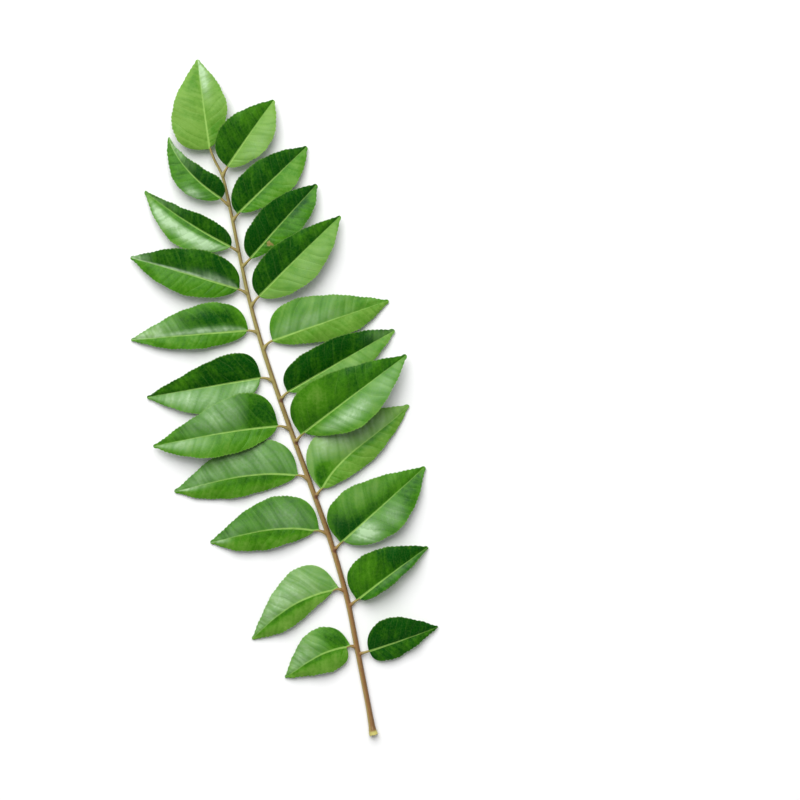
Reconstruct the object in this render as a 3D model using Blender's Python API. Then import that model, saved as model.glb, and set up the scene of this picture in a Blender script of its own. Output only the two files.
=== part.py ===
"""A curry leaf sprig, picked and laid flat: one stalk with 22 leaflets.

The sprig lies on the surface z = 0 with its upper side up. +Y runs from the cut end of the
stalk to the tip of the end leaflet. Lengths are metres and angles are degrees.

Places in the tables are counted from the middle of the cut end, and CUT_END then puts the
whole sprig round the origin. Each leaflet has a distal half, on the side of the sprig's tip,
and a proximal half, on the side of the cut end. Leaflets are numbered from the sprig's tip.
"""

import math
from collections import namedtuple

import bmesh
import bpy
import numpy as np
from mathutils import Vector

# Where the middle of the cut end lies, so that the origin is under the middle of the sprig
CUT_END = (0.0024, -0.1200)

# The gap between a leaflet and the stalk that carries it
GAP = 0.0003

# Stalk: across, along, height of the middle and radius, from the cut end to the end leaflet
STALK_ROUTE = (
    (0.0000, 0.0000, 0.00155, 0.00155),
    (0.0000, 0.0016, 0.00142, 0.00140),
    (0.0002, 0.0042, 0.00125, 0.00112),
    (0.0008, 0.0120, 0.00115, 0.00094),
    (0.0019, 0.0300, 0.00110, 0.00094),
    (0.0029, 0.0480, 0.00100, 0.00090),
    (0.0024, 0.0680, 0.00094, 0.00092),
    (0.0007, 0.0880, 0.00084, 0.00088),
    (-0.0011, 0.1070, 0.00072, 0.00083),
    (-0.0024, 0.1220, 0.00072, 0.00081),
    (-0.0035, 0.1400, 0.00100, 0.00076),
    (-0.0037, 0.1560, 0.00132, 0.00069),
    (-0.0031, 0.1700, 0.00175, 0.00063),
    (-0.0022, 0.1860, 0.00230, 0.00059),
    (-0.0018, 0.1980, 0.00285, 0.00052),
    (-0.0031, 0.2050, 0.00312, 0.00046),
    (-0.0036, 0.2094, 0.00330, 0.00042),
)
STALK_STEPS = 3
STALK_SIDES = 8

# Leaf stalks, which join each leaflet to the stalk
LEAF_STALK_ROOT_RADIUS = 0.00056
LEAF_STALK_END_RADIUS = 0.00040
LEAF_STALK_RINGS = 5
LEAF_STALK_SIDES = 6

# Blades: a keel runs along the underside of the midrib, each half bulges up a little between
# midrib and edge as a share of its width, and the edges wave gently up and down
BLADE_THICKNESS = 0.0006
KEEL_DEPTH = 0.0005
HALF_BULGE = 0.24
EDGE_WAVE = 0.00035
EDGE_WAVES = 2.2
WAVE_TURN_PER_LEAFLET = 2.1
WAVE_TURN_ACROSS = 1.3

# The share of a blade's length over which its distal lobe reaches back, and the share at
# which its outline turns in to a small blunt tip
LOBE_END = 0.4
NOSE_START = 0.965

# The points of a blade: steps from base to tip, and columns from the midrib to the edge
BLADE_STEPS = 13
HALF_COLUMNS = (0.14, 0.55, 1.0)

# Edges sharper than this are not shaded smooth
SHARP_EDGE = 50

STALK_BROWN = (0.33, 0.16, 0.05)
LEAF_GREEN = (0.05, 0.20, 0.02)
STALK_ROUGHNESS = 0.55
LEAF_ROUGHNESS = 0.40

# A half of a blade: its greatest width seen from above, the share of the length at which it
# is widest, how round it is towards its base and towards its tip (1 is a straight wedge) and
# how steeply its edge is turned up
Half = namedtuple("Half", "width widest base_round tip_round tilt")

# A leaflet: where its leaf stalk leaves the stalk, where its blade starts, the way it points
# (from the sprig's tip round to the right), its length seen from above, its two halves, how
# far back its distal lobe reaches as a share of the length, how far the midrib bows to the
# distal side and where, the heights of its base, its rise and its tip, and how far it twists
Leaflet = namedtuple(
    "Leaflet", "name joint base heading length distal proximal lobe bow heights twist")

LEAFLETS = (
    Leaflet("leaflet_terminal", None, (-0.0036, 0.2094), 6.5, 0.0308,
            Half(0.0116, 0.32, 2.7, 1.7, 4), Half(0.0080, 0.45, 1.7, 1.65, 4),
            0.02, (0.0, 0.5), (0.0036, 0.0014, 0.0006), 0),
    Leaflet("leaflet_right_1", 0.1985, (0.0007, 0.2014), 49, 0.0279,
            Half(0.0090, 0.37, 2.3, 1.7, 22), Half(0.0078, 0.48, 1.6, 2.1, 8),
            0.0, (0.0, 0.5), (0.0036, 0.0014, 0.0020), 0),
    Leaflet("leaflet_right_2", 0.1830, (0.0008, 0.1854), 60, 0.0322,
            Half(0.0083, 0.36, 2.3, 1.9, 22), Half(0.0071, 0.52, 1.5, 2.2, 7),
            0.03, (0.0, 0.5), (0.0029, 0.0010, 0.0012), 0),
    Leaflet("leaflet_right_3", 0.1670, (0.0003, 0.1691), 56.5, 0.0341,
            Half(0.0077, 0.42, 2.3, 2.0, 26), Half(0.0064, 0.56, 1.4, 2.4, 8),
            0.0, (0.0, 0.5), (0.0028, 0.0018, 0.0024), 0),
    Leaflet("leaflet_right_4", 0.1530, (-0.0001, 0.1558), 60, 0.0392,
            Half(0.0083, 0.33, 2.4, 1.65, 22), Half(0.0091, 0.43, 1.65, 1.95, 8),
            0.0, (0.0, 0.5), (0.0024, 0.0026, 0.0028), 0),
    Leaflet("leaflet_right_5", 0.1375, (0.0005, 0.1399), 85.5, 0.0422,
            Half(0.0109, 0.29, 2.6, 1.55, 0), Half(0.0065, 0.52, 1.5, 2.3, -6),
            0.0, (0.0, 0.5), (0.0019, 0.0022, 0.0006), 0),
    Leaflet("leaflet_right_6", 0.1192, (0.0017, 0.1217), 74.5, 0.0418,
            Half(0.0085, 0.34, 2.8, 2.2, 26), Half(0.0066, 0.50, 1.5, 2.1, 8),
            0.015, (0.0, 0.5), (0.0016, 0.0010, 0.0008), 0),
    Leaflet("leaflet_right_7", 0.1038, (0.0031, 0.1067), 67.5, 0.0440,
            Half(0.0124, 0.26, 2.8, 1.45, 12), Half(0.0104, 0.40, 1.4, 1.85, 12),
            0.03, (0.0, 0.5), (0.0023, 0.0048, 0.0036), 0),
    Leaflet("leaflet_right_8", 0.0840, (0.0045, 0.0868), 61, 0.0409,
            Half(0.0127, 0.29, 2.6, 2.0, 2), Half(0.0067, 0.42, 1.6, 1.5, 0),
            0.02, (0.0019, 0.30), (0.0018, 0.0010, 0.0006), 0),
    Leaflet("leaflet_right_9", 0.0645, (0.0067, 0.0674), 62.5, 0.0378,
            Half(0.0126, 0.30, 3.0, 1.4, 10), Half(0.0099, 0.44, 1.7, 1.85, 10),
            0.03, (0.0, 0.5), (0.0019, 0.0020, 0.0008), 0),
    Leaflet("leaflet_right_10", 0.0450, (0.0071, 0.0469), 68, 0.0293,
            Half(0.0110, 0.30, 2.8, 1.8, 10), Half(0.0029, 0.38, 2.2, 1.9, 55),
            0.035, (0.0003, 0.5), (0.0020, 0.0016, 0.0008), 8),
    Leaflet("leaflet_right_11", 0.0284, (0.0058, 0.0285), 85.5, 0.0250,
            Half(0.0091, 0.38, 2.1, 1.6, 20), Half(0.0053, 0.34, 2.8, 1.35, -12),
            0.005, (0.0, 0.5), (0.0021, 0.0018, 0.0010), 0),
    Leaflet("leaflet_left_1", 0.1885, (-0.0042, 0.1915), -26, 0.0279,
            Half(0.0053, 0.26, 2.4, 1.0, 32), Half(0.0064, 0.42, 1.8, 1.65, 6),
            0.0, (-0.0024, 0.55), (0.0033, 0.0012, 0.0012), 0),
    Leaflet("leaflet_left_2", 0.1725, (-0.0053, 0.1747), -42.5, 0.0352,
            Half(0.0050, 0.30, 2.2, 1.15, 30), Half(0.0088, 0.44, 1.5, 1.75, 9),
            0.0, (-0.0009, 0.5), (0.0026, 0.0010, 0.0010), 0),
    Leaflet("leaflet_left_3", 0.1575, (-0.0066, 0.1601), -59, 0.0384,
            Half(0.0093, 0.34, 2.4, 1.7, 20), Half(0.0072, 0.42, 1.6, 2.0, 2),
            0.01, (0.0, 0.5), (0.0024, 0.0026, 0.0018), 0),
    Leaflet("leaflet_left_4", 0.1436, (-0.0072, 0.1455), -80, 0.0400,
            Half(0.0105, 0.31, 2.5, 1.5, 12), Half(0.0049, 0.43, 1.9, 2.1, -4),
            0.01, (0.0, 0.5), (0.0020, 0.0018, 0.0006), -12),
    Leaflet("leaflet_left_5", 0.1260, (-0.0070, 0.1286), -85, 0.0394,
            Half(0.0097, 0.24, 3.2, 1.28, 24), Half(0.0094, 0.40, 1.8, 1.95, 7),
            0.01, (0.0, 0.5), (0.0016, 0.0010, 0.0008), 0),
    Leaflet("leaflet_left_6", 0.1085, (-0.0055, 0.1111), -84.5, 0.0429,
            Half(0.0125, 0.26, 2.9, 1.22, 8), Half(0.0078, 0.45, 1.7, 2.1, 6),
            0.01, (0.0007, 0.4), (0.0019, 0.0038, 0.0026), 0),
    Leaflet("leaflet_left_7", 0.0900, (-0.0035, 0.0932), -83, 0.0421,
            Half(0.0120, 0.30, 3.1, 1.65, 1), Half(0.0069, 0.46, 1.55, 2.1, -8),
            0.02, (0.0021, 0.4), (0.0018, 0.0016, 0.0006), 0),
    Leaflet("leaflet_left_8", 0.0703, (-0.0022, 0.0733), -82, 0.0359,
            Half(0.0113, 0.29, 3.1, 1.6, 0), Half(0.0067, 0.47, 1.5, 2.0, -8),
            0.05, (0.0021, 0.4), (0.0020, 0.0024, 0.0006), 0),
    Leaflet("leaflet_left_9", 0.0501, (-0.0011, 0.0518), -106.5, 0.0325,
            Half(0.0109, 0.22, 3.1, 1.27, -2), Half(0.0063, 0.52, 1.35, 1.9, -8),
            0.065, (0.0028, 0.45), (0.0021, 0.0022, 0.0006), 0),
    Leaflet("leaflet_left_10", 0.0304, (-0.0015, 0.0318), -102, 0.0236,
            Half(0.0088, 0.33, 3.0, 1.65, -2), Half(0.0070, 0.33, 2.2, 1.4, -6),
            0.06, (0.0017, 0.4), (0.0021, 0.0018, 0.0008), 0),
)


def clear_scene():
    """Start from an empty scene."""
    for item in list(bpy.data.objects):
        bpy.data.objects.remove(item, do_unlink=True)


def make_material(name, colour, roughness):
    """A plain finish in the colour of the real surface."""
    material = bpy.data.materials.new(name)
    material.use_nodes = True
    shader = material.node_tree.nodes["Principled BSDF"]
    shader.inputs["Base Color"].default_value = (*colour, 1.0)
    shader.inputs["Roughness"].default_value = roughness
    shader.inputs["Metallic"].default_value = 0.0
    return material


def link_mesh(name, shape, material):
    """Turn a finished bmesh into a named object, shaded smooth but for its sharp edges."""
    mesh = bpy.data.meshes.new(name)
    shape.to_mesh(mesh)
    shape.free()
    mesh.materials.append(material)
    mesh.shade_smooth()
    mesh.set_sharp_from_angle(angle=math.radians(SHARP_EDGE))
    item = bpy.data.objects.new(name, mesh)
    bpy.context.scene.collection.objects.link(item)
    return item


def smooth_route(points, steps):
    """Points on a smooth curve through the given ones, with steps spans between neighbours."""
    points = np.array(points, dtype=float)
    padded = np.vstack((2 * points[0] - points[1], points, 2 * points[-1] - points[-2]))
    route = []
    for before, start, end, after in zip(padded, padded[1:], padded[2:], padded[3:]):
        for step in range(steps):
            t = step / steps
            route.append(0.5 * (2 * start + (end - before) * t
                                + (2 * before - 5 * start + 4 * end - after) * t ** 2
                                + (3 * start - before - 3 * end + after) * t ** 3))
    route.append(points[-1])
    return np.array(route)


def tube(route, sides):
    """A closed round bar along a route of x, y, z and radius, flat where it meets the surface."""
    shape = bmesh.new()
    middles = [Vector(point[:3]) for point in route]
    rings = []
    for index, middle in enumerate(middles):
        ahead = middles[min(index + 1, len(middles) - 1)]
        behind = middles[max(index - 1, 0)]
        forward = (ahead - behind).normalized()
        side = forward.cross(Vector((0, 0, 1))).normalized()
        up = side.cross(forward)
        radius = float(route[index][3])
        ring = []
        for corner in range(sides):
            turn = 2 * math.pi * (corner + 0.5) / sides
            place = middle + radius * (math.sin(turn) * side + math.cos(turn) * up)
            place.z = max(place.z, 0.0)
            ring.append(shape.verts.new(place))
        rings.append(ring)
    for ring, following in zip(rings, rings[1:]):
        for corner in range(sides):
            beside = (corner + 1) % sides
            shape.faces.new((ring[corner], ring[beside], following[beside], following[corner]))
    shape.faces.new(rings[0])
    shape.faces.new(reversed(rings[-1]))
    bmesh.ops.recalc_face_normals(shape, faces=shape.faces)
    return shape


def from_cut_end(across, along):
    """A place given from the cut end, in the sprig's own frame."""
    return across + CUT_END[0], along + CUT_END[1]


def pointing(leaflet):
    """The way a leaflet points and the way to its distal side, both level."""
    turn = math.radians(leaflet.heading)
    ahead = np.array((math.sin(turn), math.cos(turn)))
    side = math.copysign(1, leaflet.heading)
    return ahead, side * np.array((-ahead[1], ahead[0]))


def bow_at(bow, s):
    """How far the midrib stands to the distal side of its chord at s."""
    amount, widest = bow
    fall = (1 - widest) / widest
    return amount * (s / widest) * ((1 - s) / (1 - widest)) ** fall


def width_at(half, s):
    """The width of a half at s: a rounded base, then a longer run in to a blunt tip."""
    if s > NOSE_START:
        nose = (s - NOSE_START) / (1 - NOSE_START)
        return width_at(half, NOSE_START) * math.sqrt(1 - nose ** 2)
    if s < half.widest:
        back = 1 - s / half.widest
        return half.width * (1 - back ** half.base_round) ** (1 / half.base_round)
    ahead = (s - half.widest) / (1 - half.widest)
    return half.width * (1 - ahead ** half.tip_round)


def blade_point(leaflet, number, s, t):
    """A point of a blade's upper face, s from base to tip and t from -1 over the midrib to 1."""
    ahead, distal_side = pointing(leaflet)
    distal = t > 0
    half = leaflet.distal if distal else leaflet.proximal
    twist = leaflet.twist if distal else -leaflet.twist
    width = width_at(half, s)
    out = abs(t)
    base, rise, tip = leaflet.heights
    height = base + (tip - base) * s + 4 * rise * s * (1 - s)
    height += out * width * math.tan(math.radians(half.tilt + twist * s))
    height += HALF_BULGE * width * out * (1 - out)
    phase = WAVE_TURN_PER_LEAFLET * number + (0 if distal else WAVE_TURN_ACROSS)
    wave = math.sin(2 * math.pi * EDGE_WAVES * s + phase) * math.sin(math.pi * s)
    height += EDGE_WAVE * out ** 2 * wave
    along = s
    if distal and s < LOBE_END:
        along -= leaflet.lobe * out ** 2 * (1 - s / LOBE_END) ** 2
    sideways = bow_at(leaflet.bow, s) + t * width
    place = np.array(from_cut_end(*leaflet.base))
    place = place + ahead * leaflet.length * along + distal_side * sideways
    return Vector((place[0], place[1], height))


def upper_face(shape, leaflet, number):
    """Lay out a blade's upper face in triangles and give its corners with their places."""
    columns = [-out for out in reversed(HALF_COLUMNS)] + [0.0] + list(HALF_COLUMNS)
    rows = []
    for step in range(BLADE_STEPS + 1):
        s = (1 - math.cos(math.pi * step / BLADE_STEPS)) / 2
        across = [0.0] if step in (0, BLADE_STEPS) else columns
        rows.append([(shape.verts.new(blade_point(leaflet, number, s, t)), s, t) for t in across])
    corners = [[entry[0] for entry in row] for row in rows]
    for near, far in zip(corners, corners[1:]):
        if len(near) == 1:
            for first, second in zip(far, far[1:]):
                shape.faces.new((near[0], second, first))
        elif len(far) == 1:
            for first, second in zip(near, near[1:]):
                shape.faces.new((far[0], first, second))
        else:
            for column in range(len(columns) - 1):
                beside = column + 1
                if columns[column] < 0:
                    shape.faces.new((near[column], near[beside], far[column]))
                    shape.faces.new((near[beside], far[beside], far[column]))
                else:
                    shape.faces.new((near[column], near[beside], far[beside]))
                    shape.faces.new((near[column], far[beside], far[column]))
    return [entry for row in rows for entry in row]


def blade(leaflet, number):
    """One leaflet's blade: a thin folded and arched leaf with a keel under its midrib."""
    shape = bmesh.new()
    corners = upper_face(shape, leaflet, number)
    upper = list(shape.faces)
    shape.normal_update()
    if sum(face.normal.z for face in upper) < 0:
        bmesh.ops.reverse_faces(shape, faces=upper)
        shape.normal_update()
    lower = {}
    for corner, s, t in corners:
        keel = KEEL_DEPTH * math.sqrt(1 - s) if t == 0 and s > 0 else 0.0
        place = corner.co - corner.normal * (BLADE_THICKNESS + keel)
        place.z = max(place.z, 0.0)
        lower[corner] = shape.verts.new(place)
    rim = [edge for edge in shape.edges if len(edge.link_faces) == 1]
    for face in upper:
        shape.faces.new([lower[corner] for corner in reversed(face.verts)])
    for edge in rim:
        first, second = edge.verts
        shape.faces.new((first, second, lower[second]))
        shape.faces.new((first, lower[second], lower[first]))
    bmesh.ops.recalc_face_normals(shape, faces=shape.faces)
    return shape


def leaf_stalk_route(leaflet, stalk_route):
    """The short curve from the middle of the stalk to just short of a blade's base."""
    root = np.array([np.interp(leaflet.joint, stalk_route[:, 1], stalk_route[:, axis])
                     for axis in range(3)])
    ahead, _ = pointing(leaflet)
    ahead = np.append(ahead, 0.0)
    base_height = leaflet.heights[0] - BLADE_THICKNESS / 2
    end = np.array((*leaflet.base, base_height)) - GAP * ahead
    bend = end - ahead * np.linalg.norm(end - root) / 2
    route = []
    for step in range(LEAF_STALK_RINGS):
        t = step / (LEAF_STALK_RINGS - 1)
        place = root * (1 - t) ** 2 + 2 * bend * t * (1 - t) + end * t ** 2
        radius = LEAF_STALK_ROOT_RADIUS + (LEAF_STALK_END_RADIUS - LEAF_STALK_ROOT_RADIUS) * t
        route.append((*from_cut_end(place[0], place[1]), place[2], radius))
    return route


def build_stalk(material):
    """The stalk and its leaf stalks, grown together as one piece."""
    route = smooth_route(STALK_ROUTE, STALK_STEPS)
    end_direction = route[-1][:3] - route[-2][:3]
    route[-1][:3] -= GAP * end_direction / np.linalg.norm(end_direction)
    placed = [(*from_cut_end(x, y), z, radius) for x, y, z, radius in route]
    stalk = link_mesh("stalk", tube(placed, STALK_SIDES), material)
    branches = bpy.data.collections.new("leaf_stalks")
    bpy.context.scene.collection.children.link(branches)
    for leaflet in LEAFLETS:
        if leaflet.joint is None:
            continue
        shape = tube(leaf_stalk_route(leaflet, route), LEAF_STALK_SIDES)
        branch = link_mesh("branch_" + leaflet.name, shape, material)
        bpy.context.scene.collection.objects.unlink(branch)
        branches.objects.link(branch)
    join = stalk.modifiers.new("grown_together", "BOOLEAN")
    join.operation = "UNION"
    join.operand_type = "COLLECTION"
    join.collection = branches
    join.solver = "EXACT"
    bpy.context.view_layer.objects.active = stalk
    bpy.ops.object.modifier_apply(modifier=join.name)
    for branch in list(branches.objects):
        bpy.data.objects.remove(branch, do_unlink=True)
    bpy.data.collections.remove(branches)
    return stalk


def build_sprig():
    """The whole sprig: the stalk and a blade for each leaflet."""
    clear_scene()
    bark = make_material("stalk_brown", STALK_BROWN, STALK_ROUGHNESS)
    leaf = make_material("leaf_green", LEAF_GREEN, LEAF_ROUGHNESS)
    build_stalk(bark)
    for number, leaflet in enumerate(LEAFLETS):
        link_mesh(leaflet.name, blade(leaflet, number), leaf)


build_sprig()
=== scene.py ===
"""Curry leaf sprig: fine leaflets and stalk round the fixed frame, and the studio they lie in.

Lengths are metres and angles are degrees. Places in the tables are counted from the middle of
the cut end, +Y runs to the tip of the end leaflet, and the surface is z = 0.
"""

import math
from collections import namedtuple

import bpy
import numpy as np
from bpy.props import FloatProperty, FloatVectorProperty, IntProperty, PointerProperty
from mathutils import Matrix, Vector


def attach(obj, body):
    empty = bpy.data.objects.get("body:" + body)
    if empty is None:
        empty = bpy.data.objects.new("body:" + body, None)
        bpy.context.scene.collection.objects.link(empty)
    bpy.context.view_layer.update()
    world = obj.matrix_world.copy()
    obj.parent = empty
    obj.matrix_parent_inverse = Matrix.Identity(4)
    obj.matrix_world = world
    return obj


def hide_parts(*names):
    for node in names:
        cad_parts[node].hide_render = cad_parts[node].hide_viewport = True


bl_info = {
    "name": "Curry Leaf Sprig",
    "version": (1, 0, 0),
    "blender": (4, 5, 0),
    "location": "3D View > Sidebar > Sprig",
    "description": "Builds a picked curry leaf sprig lying on a pale floor",
    "category": "Add Mesh",
}

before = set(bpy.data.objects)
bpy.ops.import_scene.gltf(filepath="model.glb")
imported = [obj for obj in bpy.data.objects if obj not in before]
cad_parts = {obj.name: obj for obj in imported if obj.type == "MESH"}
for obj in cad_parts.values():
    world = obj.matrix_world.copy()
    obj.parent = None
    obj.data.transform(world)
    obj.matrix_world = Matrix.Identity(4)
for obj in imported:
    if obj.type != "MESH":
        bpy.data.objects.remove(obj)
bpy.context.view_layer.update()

# Where the middle of the cut end lies
CUT_END = (0.0024, -0.1200)

# Stalk: across, along, height of the middle and radius, from the cut end to the end leaflet
STALK_ROUTE = (
    (0.0000, 0.0000, 0.00155, 0.00155),
    (0.0000, 0.0016, 0.00142, 0.00140),
    (0.0002, 0.0042, 0.00125, 0.00112),
    (0.0008, 0.0120, 0.00115, 0.00094),
    (0.0019, 0.0300, 0.00110, 0.00094),
    (0.0029, 0.0480, 0.00100, 0.00090),
    (0.0024, 0.0680, 0.00094, 0.00092),
    (0.0007, 0.0880, 0.00084, 0.00088),
    (-0.0011, 0.1070, 0.00072, 0.00083),
    (-0.0024, 0.1220, 0.00072, 0.00081),
    (-0.0035, 0.1400, 0.00100, 0.00076),
    (-0.0037, 0.1560, 0.00132, 0.00069),
    (-0.0031, 0.1700, 0.00175, 0.00063),
    (-0.0022, 0.1860, 0.00230, 0.00059),
    (-0.0018, 0.1980, 0.00285, 0.00052),
    (-0.0031, 0.2050, 0.00312, 0.00046),
    (-0.0036, 0.2094, 0.00330, 0.00042),
)

# Spans between two places of the route, the fewest points of a sound stalk, and how many of them
# are measured at a time
STALK_STEPS = 8
LEAST_STALK_POINTS = 5000
POINTS_AT_A_TIME = 4000

# Cut end: how far back it is torn, how close its fibres lie, and where it turns to bark
TORN_BACK = 0.0009
FIBRES_ACROSS = 4650
FIBRES_UP = 4600
CUT_FACE = (0.0011, 0.0021)

# Leaf stalks: how thick they are from root to end, how far they run into a blade and how deep
# under its rib
LEAF_STALK_SWELLING = 1.15
LEAF_STALK_ROOT_RADIUS = 0.00062
LEAF_STALK_WAIST_RADIUS = 0.00046
LEAF_STALK_END_RADIUS = 0.00041
LEAF_STALK_STEPS = 12
INTO_BLADE = 0.0022
UNDER_RIB = 0.00030

# How far off the stalk its bark turns to that of the leaf stalks
OFF_STALK = (0.0002, 0.0016)

# Spots at the joints: how far out they lie, how wide they are and how strong
SPOT_OUT = 0.0005
SPOT_REACH = 0.0010
DARK_SPOT = 1.9
FAINT_SPOT = 0.7

# Blades: the bulge of each half, the slow wave of the margins, where the lobe at the base ends,
# where the blunt tip starts, and how thick a blade is in the solids
HALF_BULGE = 0.24
EDGE_WAVE = 0.00035
EDGE_WAVES = 2.2
WAVE_TURN_PER_LEAFLET = 2.1
WAVE_TURN_ACROSS = 1.3
LOBE_END = 0.4
NOSE_START = 0.965
CAD_THICKNESS = 0.0006

# Midrib and veins: how the rib thins to the tip, its crest on the upper side, how the side veins
# lean and curve to the tip, how fine the net between them is and how wide its lines are
RIB_THINNING = 0.72
RIB_CREST = 0.00009
VEIN_LEAN = 0.50
VEIN_CURVE = 15
NET_SCALE = 1100
NET_LINE = 0.12

# Where along a margin its teeth start and stop
TEETH_START = (0.07, 0.20)
TEETH_STOP = (0.92, 0.98)

# How softly the greens of two halves meet at the rib, and how softly a patch stops there
HALF_BLEND = (-0.0002, 0.0002)
PATCH_BLEND = (-0.0003, 0.0001)

# Grid of a blade: how much its columns crowd to the rib and the margin and its rows to both
# ends, the fewest rows and faces, and the angle up to which faces are shaded as one
CROWD_ACROSS = 0.8
CROWD_ALONG = 0.55
LEAST_ROWS = 60
LEAST_LEAF_FACES = 1000
SMOOTH_ANGLE = math.radians(60)

# The floor lies this far under the sprig
FLOOR_DROP = 0.00005

Half = namedtuple("Half", "width widest base_round tip_round tilt")
Leaflet = namedtuple(
    "Leaflet", "name joint base heading length distal proximal lobe bow heights twist tones")

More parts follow.
